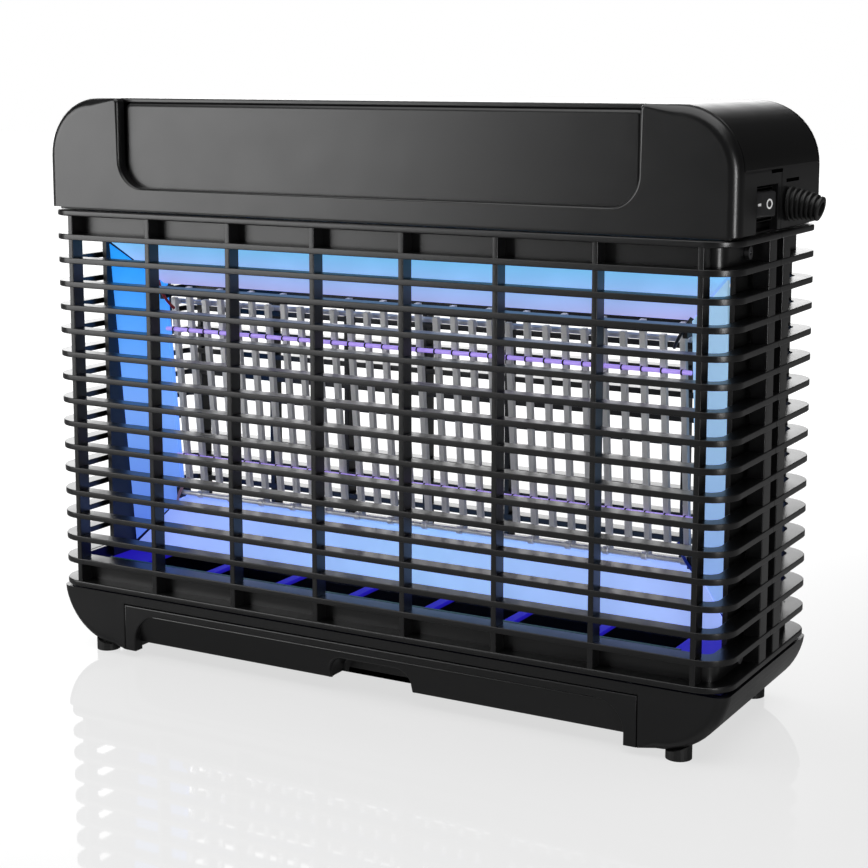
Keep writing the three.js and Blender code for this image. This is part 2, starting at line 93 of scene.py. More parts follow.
def shade_smooth(piece, angle):
    """Smooth shading, with edges sharper than the angle kept as edges."""
    limit = math.radians(angle)
    mesh = bmesh.new()
    mesh.from_mesh(piece.data)
    for face in mesh.faces:
        face.smooth = True
    for edge in mesh.edges:
        edge.smooth = len(edge.link_faces) == 2 and edge.calc_face_angle(0) < limit
    mesh.to_mesh(piece.data)
    mesh.free()


def add_loft(mesh, rings, closed=False, capped=True):
    """Joins rings of points, each a list of Vectors, into a tube. Closed joins the last to the first."""
    made = [[mesh.verts.new(point) for point in ring] for ring in rings]
    count = len(made[0])
    spans = list(zip(made, made[1:]))
    if closed:
        spans.append((made[-1], made[0]))
    for near, far in spans:
        for index in range(count):
            after = (index + 1) % count
            mesh.faces.new((near[index], near[after], far[after], far[index]))
    if capped and not closed:
        mesh.faces.new(made[0])
        mesh.faces.new(list(reversed(made[-1])))
    return made


def arc(centre, radius, start, end, steps):
    """Points along an arc, from one angle to another in degrees."""
    points = []
    for step in range(steps + 1):
        angle = math.radians(start + (end - start) * step / steps)
        points.append((centre[0] + radius * math.cos(angle), centre[1] + radius * math.sin(angle)))
    return points


def rounded_rectangle(low, high, radius, steps=3):
    """Points round a rectangle with rounded corners, anticlockwise, as (a, b) pairs."""
    corners = [
        (high[0] - radius, high[1] - radius, 0),
        (low[0] + radius, high[1] - radius, 90),
        (low[0] + radius, low[1] + radius, 180),
        (high[0] - radius, low[1] + radius, 270),
    ]
    points = []
    for a, b, start in corners:
        points += arc((a, b), radius, start, start + 90, steps)
    return points


def add_block(mesh, low, high, radius, steps=2):
    """A box with every edge rounded, as a stack of shrinking rounded rectangles."""
    size = min(h - l for l, h in zip(low, high))
    radius = min(radius, size * 0.49)
    levels = []
    for step in range(steps + 1):
        angle = math.radians(90 * step / steps)
        levels.append((low[2] + radius - radius * math.cos(angle), radius - radius * math.sin(angle)))
    levels += [(high[2] - (z - low[2]), inset) for z, inset in reversed(levels)]
    rings = []
    for z, inset in levels:
        corner = max(radius - inset, 0.02 * MM)
        plan = rounded_rectangle(
            (low[0] + inset, low[1] + inset), (high[0] - inset, high[1] - inset), corner, steps)
        rings.append([Vector((x, y, z)) for x, y in plan])
    add_loft(mesh, rings)


def add_rod(mesh, start, end, radius, sides=16, end_round=0.0):
    """A round rod between two points, with its ends chamfered."""
    start, end = Vector(start), Vector(end)
    along = (end - start).normalized()
    across = along.orthogonal().normalized()
    other = along.cross(across)
    stations = [(start, radius - end_round), (start + along * end_round, radius)]
    stations += [(end - along * end_round, radius), (end, radius - end_round)]
    if not end_round:
        stations = [(start, radius), (end, radius)]
    rings = []
    for centre, reach in stations:
        turns = [2 * math.pi * index / sides for index in range(sides)]
        rings.append([centre + across * (reach * math.cos(t)) + other * (reach * math.sin(t)) for t in turns])
    add_loft(mesh, rings)


def mitred_inwards(outline):
    """For each point of an anticlockwise outline, the vector that insets both its edges by one unit."""
    vectors = []
    count = len(outline)
    for index, (x, z) in enumerate(outline):
        before = Vector((x, z)) - Vector(outline[index - 1])
        after = Vector(outline[(index + 1) % count]) - Vector((x, z))
        n1 = Vector((-before.y, before.x)).normalized()
        n2 = Vector((-after.y, after.x)).normalized()
        vectors.append((n1 + n2) / (1 + n1.dot(n2)))
    return vectors


def add_plate(mesh, outline, rounds, front, rear, steps=5, flat_level=None):
    """A plate seen from the front: an (x, z) outline from front to rear, its front edge rounded.

    rounds gives the edge's radius at each point. An edge along flat_level is cut square instead."""
    inwards = mitred_inwards(outline)
    for (x, z), inward in zip(outline, inwards):
        if flat_level is not None and abs(z - flat_level) < 1e-6:
            inward.y = 0
    rings = []
    for step in range(steps + 1):
        angle = math.radians(90 * step / steps)
        ring = []
        for (x, z), inward, radius in zip(outline, inwards, rounds):
            inset = radius * (1 - math.sin(angle))
            back = radius * (1 - math.cos(angle))
            ring.append(Vector((x + inward.x * inset, front + back, z + inward.y * inset)))
        rings.append(ring)
    rings.append([Vector((x, rear, z)) for x, z in outline])
    add_loft(mesh, rings)


# ---- Materials ----


def new_material(name, colour, roughness, metallic=0.0):
    """A material with its colour, roughness and metal set on the shader itself."""
    material = bpy.data.materials.new(name)
    material.use_nodes = True
    shader = material.node_tree.nodes["Principled BSDF"]
    shader.inputs["Base Color"].default_value = (*colour, 1)
    shader.inputs["Roughness"].default_value = roughness
    shader.inputs["Metallic"].default_value = metallic
    return material, shader


def add_node(material, kind, **settings):
    node = material.node_tree.nodes.new(kind)
    for key, value in settings.items():
        setattr(node, key, value)
    return node


def link(material, source, target):
    material.node_tree.links.new(source, target)


def object_place(material):
    """The surface's place in the object's own frame, in metres."""
    return add_node(material, "ShaderNodeTexCoord").outputs["Object"]


def add_noise(material, scale, detail=2.0):
    """Noise fixed to the object, as a value from 0 to 1."""
    noise = add_node(material, "ShaderNodeTexNoise")
    noise.inputs["Scale"].default_value = scale
    noise.inputs["Detail"].default_value = detail
    link(material, object_place(material), noise.inputs["Vector"])
    return noise.outputs["Fac"]


def add_bump(material, shader, height, strength, distance):
    bump = add_node(material, "ShaderNodeBump")
    bump.inputs["Strength"].default_value = strength
    bump.inputs["Distance"].default_value = distance
    link(material, height, bump.inputs["Height"])
    link(material, bump.outputs["Normal"], shader.inputs["Normal"])


def vary_roughness(material, shader, source, low, high):
    """Lets the roughness run between two values."""
    spread = add_node(material, "ShaderNodeMapRange")
    spread.inputs["To Min"].default_value = low
    spread.inputs["To Max"].default_value = high
    link(material, source, spread.inputs["Value"])
    link(material, spread.outputs["Result"], shader.inputs["Roughness"])


def ramp(material, source, stops):
    """A colour ramp of (place, colour) stops."""
    node = add_node(material, "ShaderNodeValToRGB")
    elements = node.color_ramp.elements
    while len(elements) < len(stops):
        elements.new(0.5)
    for element, (place, colour) in zip(elements, stops):
        element.position = place
        element.color = (*colour, 1)
    link(material, source, node.inputs["Fac"])
    return node.outputs["Color"]


def satin_plastic():
    """Black ABS with the fine grain of a textured mould and a soft sheen."""
    material, shader = new_material("satin_black_plastic", (0.0045, 0.0045, 0.0048), 0.36)
    shader.inputs["Specular IOR Level"].default_value = 0.5
    grain = add_noise(material, 1900, 3)
    add_bump(material, shader, grain, 0.12, 0.0002)
    vary_roughness(material, shader, add_noise(material, 60), 0.26, 0.34)
    return material


def inner_plastic():
    """Plain black plastic of the parts inside."""
    material, shader = new_material("inner_black_plastic", (0.004, 0.004, 0.004), 0.5)
    add_bump(material, shader, add_noise(material, 1200, 2), 0.1, 0.0002)
    vary_roughness(material, shader, add_noise(material, 90), 0.42, 0.56)
    return material


def slot_shadow():
    """The unlit depth of a slot."""
    material, shader = new_material("slot_shadow", (0.001, 0.001, 0.001), 0.9)
    shader.inputs["Specular IOR Level"].default_value = 0.0
    add_bump(material, shader, add_noise(material, 900, 2), 0.05, 0.0001)
    return material


def rubber():
    """Moulded rubber, dull and slightly mottled."""
    material, shader = new_material("black_rubber", (0.004, 0.004, 0.004), 0.5)
    add_bump(material, shader, add_noise(material, 800, 4), 0.25, 0.0003)
    vary_roughness(material, shader, add_noise(material, 120), 0.42, 0.6)
    return material


def rocker_plastic():
    """The switch's harder, slightly glossier black plastic."""
    material, shader = new_material("rocker_black_plastic", (0.018, 0.018, 0.019), 0.3)
    add_bump(material, shader, add_noise(material, 2200, 2), 0.08, 0.0002)
    vary_roughness(material, shader, add_noise(material, 150), 0.26, 0.36)
    return material


def mark_paint():
    """White paint of the switch's marks."""
    material, shader = new_material("white_mark", (0.85, 0.85, 0.85), 0.5)
    add_bump(material, shader, add_noise(material, 1500, 2), 0.1, 0.0001)
    return material


def drawn_metal():
    """Bright drawn strip, streaked along its length."""
    material, shader = new_material("grid_metal", (0.80, 0.80, 0.80), 0.4, 0.45)
    place = add_node(material, "ShaderNodeMapping")
    place.inputs["Scale"].default_value = (900, 900, 18)
    link(material, object_place(material), place.inputs["Vector"])
    streaks = add_node(material, "ShaderNodeTexNoise")
    streaks.inputs["Scale"].default_value = 1.0
    streaks.inputs["Detail"].default_value = 3
    link(material, place.outputs["Vector"], streaks.inputs["Vector"])
    vary_roughness(material, shader, streaks.outputs["Fac"], 0.32, 0.5)
    add_bump(material, shader, streaks.outputs["Fac"], 0.1, 0.0002)
    return material


def plain_steel():
    """Plated steel of the screws and the transformer."""
    material, shader = new_material("plain_steel", (0.35, 0.35, 0.36), 0.35, 1.0)
    vary_roughness(material, shader, add_noise(material, 300), 0.28, 0.45)
    return material


def lit_insulator():
    """A pale lavender insulating sleeve with a painted violet glow that stands in for the lamps' light."""
    material, shader = new_material("sleeve_painted_violet_glow", (0.62, 0.50, 0.90), 0.3)
    # Painted light: a violet glow on the sleeve.
    shader.inputs["Emission Color"].default_value = (0.42, 0.27, 1.0, 1)
    shader.inputs["Emission Strength"].default_value = 0.55
    vary_roughness(material, shader, add_noise(material, 400), 0.25, 0.4)
    return material


def coloured_wire(name, colour):
    """The insulation of one of the grid's leads."""
    material, shader = new_material(name, colour, 0.4)
    vary_roughness(material, shader, add_noise(material, 500), 0.35, 0.5)
    return material


def circuit_board():
    """Green laminate with paler tracks."""
    material, shader = new_material("board_laminate", (0.02, 0.12, 0.05), 0.45)
    tracks = add_node(material, "ShaderNodeTexBrick")
    tracks.inputs["Scale"].default_value = 120
    tracks.inputs["Color1"].default_value = (0.015, 0.10, 0.04, 1)
    tracks.inputs["Color2"].default_value = (0.02, 0.13, 0.05, 1)
    tracks.inputs["Mortar"].default_value = (0.05, 0.24, 0.10, 1)
    link(material, object_place(material), tracks.inputs["Vector"])
    link(material, tracks.outputs["Color"], shader.inputs["Base Color"])
    return material


def winding_tape():
    """Brown tape round the transformer's winding."""
    material, shader = new_material("winding_tape", (0.32, 0.12, 0.04), 0.4)
    add_bump(material, shader, add_noise(material, 900, 2), 0.3, 0.0003)
    return material


def dipped_capacitor():
    """The orange-brown dip of the storage capacitor."""
    material, shader = new_material("capacitor_case", (0.35, 0.14, 0.03), 0.35)
    vary_roughness(material, shader, add_noise(material, 200), 0.25, 0.4)
    return material


def add_span(material, axis, low, high):
    """A value that goes from 0 to 1 along one axis of the object."""
    split = add_node(material, "ShaderNodeSeparateXYZ")
    link(material, object_place(material), split.inputs["Vector"])
    span = add_node(material, "ShaderNodeMapRange")
    span.inputs["From Min"].default_value = low
    span.inputs["From Max"].default_value = high
    link(material, split.outputs[axis], span.inputs["Value"])
    return span.outputs["Result"]


def lit_reflector(name, stops, across, low, high, strength, light_wash=None):
    """A white reflector with painted lamp light: a glow whose colour runs along one axis, with a painted wash
    of light that grows upwards.
    """
    material, shader = new_material(name, stops[0][1], 0.3)
    colour = ramp(material, add_span(material, across, low, high), stops)
    if light_wash:
        tint, bottom, top = light_wash
        mix = add_node(material, "ShaderNodeMix", data_type="RGBA")
        mix.inputs["B"].default_value = (*tint, 1)
        link(material, add_span(material, "Z", bottom, top), mix.inputs["Factor"])
        link(material, colour, mix.inputs["A"])
        colour = mix.outputs["Result"]
    link(material, colour, shader.inputs["Base Color"])
    # Painted light: the same colour is both the base colour and the emission, so the reflector glows as if
    # the lamps shone on it.
    link(material, colour, shader.inputs["Emission Color"])
    shader.inputs["Emission Strength"].default_value = strength
    add_bump(material, shader, add_noise(material, 250, 2), 0.05, 0.0003)
    return material


def lit_grate():
    """Blue-tinted black plastic with a painted deep blue glow on its raised floor, where the lamps shine."""
    # The blue in the base colour is painted lamp light too.
    material, shader = new_material("lit_grate_plastic", (0.006, 0.006, 0.05), 0.6)
    shader.inputs["Specular IOR Level"].default_value = 0.15
    low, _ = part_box("drop_grate")
    glow = ramp(material, add_span(material, "Z", low.z, low.z + 10 * MM), [
        (0.0, (0, 0, 0)), (0.55, (0, 0, 0)), (1.0, (0.014, 0.008, 0.36))])
    link(material, glow, shader.inputs["Emission Color"])
    shader.inputs["Emission Strength"].default_value = 1.0
    vary_roughness(material, shader, add_noise(material, 90), 0.55, 0.7)
    return material


BLACK = satin_plastic()
INNER = inner_plastic()
RUBBER = rubber()
SLOT_SHADE = slot_shadow()
ROCKER = rocker_plastic()
MARK = mark_paint()
METAL = drawn_metal()
STEEL = plain_steel()
SLEEVE = lit_insulator()


# ---- Cage ----


def cage_path(steps=7):
    """The front half of the cage's outline in plan, as (x, y, inward x, inward y) from left to right."""
    x, y, r = HALF_WIDTH, HALF_DEPTH, CAGE_CORNER
    path = [(-x, -0.15 * MM, 1, 0)]
    for centre, start in ((-x + r, 180), (x - r, 270)):
        for step in range(steps + 1):
            angle = math.radians(start + 90 * step / steps)
            nx, ny = math.cos(angle), math.sin(angle)
            path.append((centre + r * nx, -y + r + r * ny, -nx, -ny))
    path.append((x, -0.15 * MM, -1, 0))
    return path


def add_wrap(mesh, section, side):
    """Carries an (inset, z) section round half of the cage. Side is 1 for the front and -1 for the rear."""
    rings = []
    for x, y, nx, ny in cage_path():
        ring = [(x + nx * inset, y + ny * inset, z) for inset, z in section]
        rings.append([Vector((MIDDLE_X + side * a, side * b, z)) for a, b, z in ring])
    add_loft(mesh, rings)


def add_side_block(mesh, low, high, radius, side):
    """A rounded box given for the front half, turned half round for the rear."""
    corners = [Vector((side * x, side * y, z)) for x, y, z in (low, high)]
    a = [min(c[axis] for c in corners) for axis in range(3)]
    b = [max(c[axis] for c in corners) for axis in range(3)]
    a[0] += MIDDLE_X
    b[0] += MIDDLE_X
    add_block(mesh, a, b, radius)


def make_cage(name, node, side):
    """One half of the cage: flanges, fins, ribs, aprons and end posts as one moulding."""
    mesh = bmesh.new()
    low, high = CAGE_LOW.z, CAGE_HIGH.z
    for index in range(FIN_COUNT):
        z = low + (index + 1) * FIN_PITCH
        add_wrap(mesh, rounded_rectangle((0, z), (FIN_DEPTH, z + FIN_THICKNESS), 0.35 * MM, 2), side)
    for z in (low, high - FLANGE_THICKNESS):
        add_wrap(mesh, rounded_rectangle((0, z), (FIN_DEPTH, z + FLANGE_THICKNESS), 0.6 * MM, 2), side)
    for bottom, top in (
        (low + 0.2 * MM, low + FIN_PITCH + FIN_THICKNESS - 0.2 * MM),
        (high - FLANGE_THICKNESS - FIN_PITCH + 0.2 * MM, high - 0.2 * MM),
    ):
        add_wrap(mesh, [(FIN_DEPTH - 0.5 * MM, bottom), (FIN_DEPTH + 2 * MM, bottom),
                        (FIN_DEPTH + 2 * MM, top), (FIN_DEPTH - 0.5 * MM, top)], side)
    for index in range(RIB_COUNT):
        x = (index - (RIB_COUNT - 1) / 2) * RIB_SPACING
        add_side_block(
            mesh,
            (x - RIB_WIDTH / 2, -HALF_DEPTH + 0.3 * MM, low + 0.5 * MM),
            (x + RIB_WIDTH / 2, -HALF_DEPTH + FIN_DEPTH - 0.2 * MM, high - 0.5 * MM),
            0.4 * MM, side)
    for end in (-1, 1):
        outer = end * (HALF_WIDTH - 0.4 * MM)
        inner = end * (HALF_WIDTH - FIN_DEPTH + 0.4 * MM)
        add_side_block(
            mesh,
            (min(outer, inner), POST_FRONT, low + 0.5 * MM),
            (max(outer, inner), POST_REAR, high - 0.5 * MM),
            0.5 * MM, side)
    finish_piece(name, mesh, "housing", BLACK, [node], 50)


make_cage("front_cage_moulding", "front_grille", 1)
make_cage("rear_cage_moulding", "rear_grille", -1)


# ---- Head ----

HEAD_FLOOR = HEAD_LOW.z
HEAD_TOP = HEAD_HIGH.z
HEAD_CORNER = 30 * MM
EDGE_ROUND = 5.5 * MM
LID_LOW, LID_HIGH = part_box("head_lid")
WALL = 2.4 * MM
PANEL_HALF = 144.7 * MM
PANEL_BOTTOM = HEAD_FLOOR + 11 * MM
PANEL_ROUND = 14.5 * MM
PANEL_SINK = 5.5 * MM
RECESS_FRONT = -34.6 * MM
RECESS_REAR = -6.7 * MM
RECESS_TOP = 261 * MM
RIGHT_TURN = Matrix.Rotation(math.radians(90), 4, "Z")
HALF_TURN = Matrix.Rotation(math.radians(180), 4, "Z")
TO_MIDDLE = Matrix.Translation((MIDDLE_X, 0, 0))


def cheek_outline():
    """The head's face round its sunk panel, anticlockwise, with the edge's radius at each point."""
    x, top, floor = HALF_WIDTH, HEAD_TOP, HEAD_FLOOR
    r, tip = HEAD_CORNER, 2.5 * MM
    inner, low = PANEL_HALF, PANEL_BOTTOM
    right = [((x, floor), EDGE_ROUND)]
    right += [(p, EDGE_ROUND) for p in arc((x - r, top - r), r, 0, 90, 12)]
    right += [(p, 1.8 * MM) for p in arc((inner + tip, top - tip), tip, 90, 180, 4)]
    right += [(p, 1.2 * MM) for p in arc((inner - PANEL_ROUND, low + PANEL_ROUND), PANEL_ROUND, 0, -90, 10)]
    left = [((-a, b), radius) for (a, b), radius in reversed(right)]
    return [p for p, _ in right + left], [radius for _, radius in right + left]


def copy_into(mesh, other, matrix):
    """Adds another bmesh, moved by a matrix, and frees it."""
    bmesh.ops.transform(other, matrix=matrix, verts=other.verts)
    data = bpy.data.meshes.new("scratch")
    other.to_mesh(data)
    other.free()
    mesh.from_mesh(data)
    bpy.data.meshes.remove(data)


def make_snap_slots():
    """Two narrow slots in the lid's right side, shown as painted shade: dark insets that stand just proud of
    the surface.
    """
    mesh = bmesh.new()
    side = MIDDLE_X + HALF_WIDTH
    for start, end, z in ((-16, -1, 266), (4.5, 22, 261)):
        low = (side - 0.6 * MM, start * MM, z * MM)
        high = (side + 0.05 * MM, end * MM, (z + 1.6) * MM)
        add_block(mesh, low, high, 0.02 * MM)
    finish_piece("lid_snap_slots", mesh, "housing", SLOT_SHADE)


def make_head_face(name, node, turn, side_end):
    """A head shell: the face plate, the sunk panel and the two side walls behind it."""
    mesh = bmesh.new()
    seam = LID_LOW.y - 0.7 * MM
    outline, rounds = cheek_outline()
    add_plate(mesh, outline, rounds, -HOUSING_FACE, seam, flat_level=HEAD_FLOOR)
    corner = 3.5 * MM
    x, top = PANEL_HALF - 0.2 * MM, HEAD_TOP - 2.2 * MM
    low = PANEL_BOTTOM - 1 * MM
    panel = [(-x, low), (x, low)]
    panel += arc((x - corner, top - corner), corner, 0, 90, 5)
    panel += arc((-x + corner, top - corner), corner, 90, 180, 5)
    front = -HOUSING_FACE + PANEL_SINK
    add_plate(mesh, panel, [2.8 * MM] * len(panel), front, front + WALL, flat_level=low)
    for side, end in side_end.items():
        add_side_wall(mesh, side, seam, end, side > 0 and node == "front_head_shell")
    placed = bmesh.new()
    copy_into(placed, mesh, TO_MIDDLE @ turn)
    finish_piece(name, placed, "housing", BLACK, [node], 40)


def add_side_wall(mesh, side, front, rear, recessed):
    """One side of a head shell, below the lid. The recess for the switch is cut out of it."""
    top = LID_LOW.z - 0.5 * MM
    low = HEAD_FLOOR
    outline = [(front, low)]
    if recessed:
        outline += [(RECESS_FRONT, low), (RECESS_FRONT, RECESS_TOP)]
        outline += [(RECESS_REAR, RECESS_TOP), (RECESS_REAR, low)]
    outline += [(rear, low), (rear, top), (front, top)]
    wall = bmesh.new()
    add_plate(wall, outline, [0.35 * MM] * len(outline), -HALF_WIDTH, -HALF_WIDTH + 3.6 * MM, steps=2)
    turn = RIGHT_TURN if side > 0 else RIGHT_TURN.inverted() @ Matrix.Scale(-1, 4, (1, 0, 0))
    copy_into(mesh, wall, turn)


def make_lid():
    """The saddle over the head, from one side over the top to the other."""
    mesh = bmesh.new()
    x, top = HALF_WIDTH, HEAD_TOP
    r = HEAD_CORNER
    path = [((x, LID_LOW.z), (-1, 0))]
    for centre, start in ((x - r, 0), (-x + r, 90)):
        for step in range(13):
            angle = math.radians(start + 90 * step / 12)
            n = (math.cos(angle), math.sin(angle))
            path.append(((centre + r * n[0], top - r + r * n[1]), (-n[0], -n[1])))
    path.append(((-x, LID_LOW.z), (1, 0)))
    section = rounded_rectangle((0, LID_LOW.y), (WALL, LID_HIGH.y), 0.7 * MM, 3)
    rings = []
    for (px, pz), (nx, nz) in path:
        rings.append([Vector((MIDDLE_X + px + nx * inset, y, pz + nz * inset)) for inset, y in section])
    add_loft(mesh, rings)
    finish_piece("head_lid_moulding", mesh, "housing", BLACK, ["head_lid"], 40)


make_head_face("front_head_moulding", "front_head_shell", Matrix.Identity(4), {-1: -2 * MM, 1: -2 * MM})
make_head_face("rear_head_moulding", "rear_head_shell", HALF_TURN, {-1: 1.7 * MM, 1: 1.7 * MM})
make_lid()
make_snap_slots()


# ---- Rocker switch ----

SWITCH_LOW, SWITCH_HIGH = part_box("switch_body")
SWITCH_Y = (SWITCH_LOW.y + SWITCH_HIGH.y) / 2
SWITCH_Z = (SWITCH_LOW.z + SWITCH_HIGH.z) / 2
RECESS_X = SWITCH_HIGH.x - 2 * MM
PIVOT = Vector((RECESS_X + 0.8 * MM - 2 * MM, SWITCH_Y, SWITCH_Z))
ROCKER_THROW = math.radians(11)
ROCKER_HALF = 8 * MM
MARK_PROUD = 0.06 * MM
MARK_SUNK = 0.2 * MM


def add_frame(mesh, low, high, opening_low, opening_high, round_outer, round_inner):
    """A picture-frame ring in the YZ plane, between two x values, with rounded outer edges."""
    outer = rounded_rectangle((low[1], low[2]), (high[1], high[2]), round_outer, 4)
    inner = rounded_rectangle(opening_low, opening_high, round_inner, 4)
    rings = []
    for x, scale, source in (
        (low[0], 1.0, outer), (high[0] - 0.5 * MM, 1.0, outer), (high[0], 0.97, outer),
        (high[0], 1.03, inner), (high[0] - 0.4 * MM, 1.0, inner), (low[0], 1.0, inner),
    ):
        ring = []
        for y, z in source:
            ring.append(Vector((x, SWITCH_Y + (y - SWITCH_Y) * scale, SWITCH_Z + (z - SWITCH_Z) * scale)))
        rings.append(ring)
    add_loft(mesh, rings, closed=True)


def make_switch():
    """The switch's frame."""
    mesh = bmesh.new()
    half_wide, half_high = 9.1 * MM, 5.9 * MM
    add_frame(
        mesh, (RECESS_X + 0.3 * MM, SWITCH_LOW.y, SWITCH_LOW.z), SWITCH_HIGH,
        (SWITCH_Y - half_wide, SWITCH_Z - half_high), (SWITCH_Y + half_wide, SWITCH_Z + half_high),
        1 * MM, 0.6 * MM)
    finish_piece("switch_frame", mesh, "housing", ROCKER)


def face_height(along):
    """How far out the rocker's dished face is at a distance from its pivot."""
    share = along / ROCKER_HALF
    return (3.5 + 1.1 * share * share) * MM


def rocker_profile():
    """The rocker seen from above, level about its pivot: (outwards, rearwards) points."""
    face = []
    for step in range(-6, 7):
        along = ROCKER_HALF * step / 6
        face.append((face_height(along), along))
    return [(-3 * MM, -4 * MM), (3 * MM, -8.4 * MM)] + face + [(3 * MM, 8.4 * MM), (-3 * MM, 4 * MM)]


def rocker_place():
    """Moves a piece drawn level about the pivot to its place, pressed to on."""
    return Matrix.Translation(PIVOT) @ Matrix.Rotation(-ROCKER_THROW, 4, "Z")


def make_rocker():
    """The rocker, with its dished face and the pin it turns on."""
    mesh = bmesh.new()
    profile = rocker_profile()
    rings = []
    for z, shrink in ((-5.6, 0.94), (-5.2, 0.99), (-4.8, 1.0), (4.8, 1.0), (5.2, 0.99), (5.6, 0.94)):
        rings.append([Vector((x * shrink, y * shrink, z * MM)) for x, y in profile])
    add_loft(mesh, rings)
    add_rod(mesh, (0, 0, -6.1 * MM), (0, 0, 6.1 * MM), 1.3 * MM, 20)
    placed = bmesh.new()
    copy_into(placed, mesh, rocker_place())
    finish_piece("rocker_paddle", placed, "rocker", ROCKER, ["switch_rocker"], 40)


def finish_mark(name, rings, closed):
    """A painted mark on the rocker's face, from rings of points drawn level about the pivot."""
    mesh = bmesh.new()
    add_loft(mesh, rings, closed)
    placed = bmesh.new()
    copy_into(placed, mesh, rocker_place())
    finish_piece(name, placed, "rocker", MARK)


def make_on_mark():
    """The bar on the half that is pressed for on."""
    middle, length, height = -4.4 * MM, 3.4 * MM, 1.2 * MM
    rings = []
    for step in range(7):
        along = middle + length * (step / 6 - 0.5)
        low, high = face_height(along) - MARK_SUNK, face_height(along) + MARK_PROUD
        rings.append([
            Vector((low, along, -height / 2)), Vector((high, along, -height / 2)),
            Vector((high, along, height / 2)), Vector((low, along, height / 2))])
    finish_mark("rocker_on_mark", rings, False)


def make_off_mark():
    """The ring on the half that is pressed for off."""
    centre, half_wide, half_high, stroke = 4.2 * MM, 2.1 * MM, 2.3 * MM, 0.75 * MM
    rings = []
    for step in range(32):
        angle = 2 * math.pi * step / 32
        y1, z1 = centre + half_wide * math.cos(angle), half_high * math.sin(angle)
        y2, z2 = centre + (half_wide - stroke) * math.cos(angle), (half_high - stroke) * math.sin(angle)
        x1, x2 = face_height(y1), face_height(y2)
        rings.append([
            Vector((x1 - MARK_SUNK, y1, z1)), Vector((x1 + MARK_PROUD, y1, z1)),
            Vector((x2 + MARK_PROUD, y2, z2)), Vector((x2 - MARK_SUNK, y2, z2))])
    finish_mark("rocker_off_mark", rings, True)


make_switch()
make_rocker()
make_on_mark()
make_off_mark()


# ---- Strain relief boot ----

BOOT_LOW, BOOT_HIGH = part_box("strain_relief_boot")


def make_boot():
    """A ribbed boot that droops a little along its length, with an open bore at its end."""
    mesh = bmesh.new()
    side = MIDDLE_X + HALF_WIDTH
    start = Vector((side, (BOOT_LOW.y + BOOT_HIGH.y) / 2, 251 * MM))
    reach = BOOT_HIGH.x - side - 0.6 * MM
    ribs = 6
    profile = [(0.6, 4.7), (0.7, 7.7), (1.0, 8.0), (2.0, 8.0), (2.3, 7.6)]
    first = 2.4
    step = (reach / MM - first) / ribs
    for rib in range(ribs):
        radius = 7.6 - 0.36 * rib
        foot = first + rib * step
        profile += [
            (foot + 0.05 * step, radius - 1.2), (foot + 0.3 * step, radius - 1.2),
            (foot + 0.38 * step, radius - 0.2), (foot + 0.5 * step, radius),
            (foot + 0.82 * step, radius - 0.05), (foot + 0.92 * step, radius - 0.3)]
    end = reach / MM
    profile += [(end, 5.0), (end, 3.4), (end - 6, 3.2), (end - 6, 0.05)]
    rings = []
    for along, radius in profile:
        droop = math.radians(15) * (along / end)
        centre = start + Vector((along * MM, 0, -0.5 * along * MM * math.sin(droop)))
        ring = []
        for index in range(28):
            angle = 2 * math.pi * index / 28
            y, z = radius * MM * math.cos(angle), radius * MM * math.sin(angle)
            ring.append(centre + Vector((-z * math.sin(-droop), y, z * math.cos(droop))))
        rings.append(ring)
    add_loft(mesh, rings)
    finish_piece("ribbed_boot", mesh, "housing", RUBBER, ["strain_relief_boot"], 40)


make_boot()


# ---- Base ----

BASE_LOW, BASE_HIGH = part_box("base_pan")
BASE_TOP = BASE_HIGH.z
LEG_BOTTOM = BASE_LOW.z
BASE_CORNER = 35 * MM
TRAY_LOW, TRAY_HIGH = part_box("collection_tray")
TRAY_HALF = (TRAY_HIGH.x - TRAY_LOW.x) / 2
PAN_BOTTOM = 8 * MM


def base_left_corner():
    """The base's round lower corner on the left, from its top edge down to its bottom."""
    centre = (BASE_CORNER - HALF_WIDTH, LEG_BOTTOM + BASE_CORNER)
    rise = math.degrees(math.asin((centre[1] - BASE_TOP) / BASE_CORNER))
    return arc(centre, BASE_CORNER, 180 + rise, 270, 14)


def make_base_cover(end, turn, leg_inside, arch_start, edge):
    """One cover of the base: a leg at each side, and the arch between them that starts at arch_start."""
    left = [(p, EDGE_ROUND) for p in base_left_corner()]
    left += [((-leg_inside, LEG_BOTTOM), edge), (arch_start, edge)]
    right = [((-a, b), radius) for (a, b), radius in reversed(left)]
    outline = [p for p, _ in left + right]
    rounds = [radius for _, radius in left + right]
    mesh = bmesh.new()
    add_plate(mesh, outline, rounds, -HOUSING_FACE, BASE_LOW.y - 0.3 * MM, flat_level=BASE_TOP)
    placed = bmesh.new()
    copy_into(placed, mesh, TO_MIDDLE @ turn)
    finish_piece(end + "_base_moulding", placed, "housing", BLACK, [end + "_base_cover"], 40)


TRAY_GAP = TRAY_HALF + 0.35 * MM
make_base_cover(
    "front", Matrix.Identity(4), TRAY_GAP, (-TRAY_GAP, TRAY_HIGH.z + 0.45 * MM), 0.6 * MM)
make_base_cover("rear", HALF_TURN, 143 * MM, (-141 * MM, PAN_BOTTOM), 0.8 * MM)


# ---- Collection tray ----

TRAY_TOP = TRAY_HIGH.z
SCOOP_HALF = TRAY_HALF - 6.5 * MM
SCOOP_TOP = TRAY_TOP - 4 * MM
SCOOP_ROUND = 15 * MM
SCOOP_DEEP = 4.4 * MM
NOTCH_MIDDLE = 3 * MM
NOTCH_HALF = 23.5 * MM
NOTCH_TOP = 20 * MM
NOTCH_ROUND = 8 * MM
BIN_HALF = 139 * MM
BIN_WALL = 1.6 * MM
BIN_TOP = 26 * MM


def scoop_depth(z):
    """How far the tray's scooped middle lies behind its face at a height."""
    return 0.3 * MM + (SCOOP_TOP - z) / (SCOOP_TOP - PAN_BOTTOM) * SCOOP_DEEP


